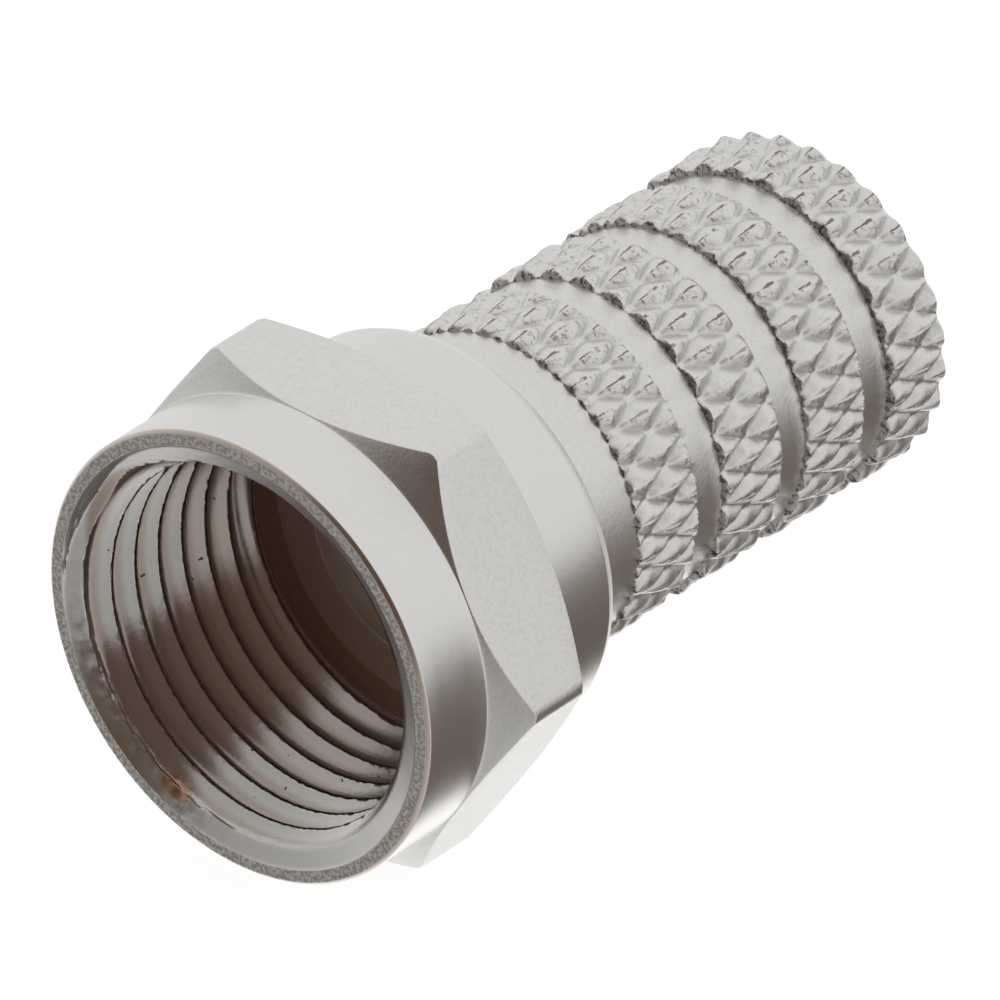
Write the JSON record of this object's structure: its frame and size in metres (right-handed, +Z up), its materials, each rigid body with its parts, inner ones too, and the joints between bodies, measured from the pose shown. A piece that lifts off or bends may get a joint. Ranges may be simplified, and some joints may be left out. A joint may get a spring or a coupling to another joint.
{
  "type": "f connector",
  "caption": "Twist-on F connector: hexagonal coupling nut with an internal thread, spinning on a tubular body with diamond-knurled bands.",
  "frame": {"origin": "centre of the coupling nut's front face, at the mouth of its thread", "axes": "+X along the connector's axis towards the cable end, +Z up, with a flat of the hex facing down"},
  "size_m": [0.0198, 0.0126, 0.0112],
  "materials": {
    "nut_nickel": "bright nickel plate",
    "body_nickel": "bright nickel plate over a rolled knurl"
  },
  "bodies": {
    "sleeve": {"body": "body_nickel"},
    "nut": {"coupling_nut": "nut_nickel"}
  },
  "joints": [
    {"name": "nut_spin", "type": "hinge", "parent": "sleeve", "child": "nut", "pos_m": [0.0069, 0, 0], "axis": [1, 0, 0], "continuous": true}
  ]
}
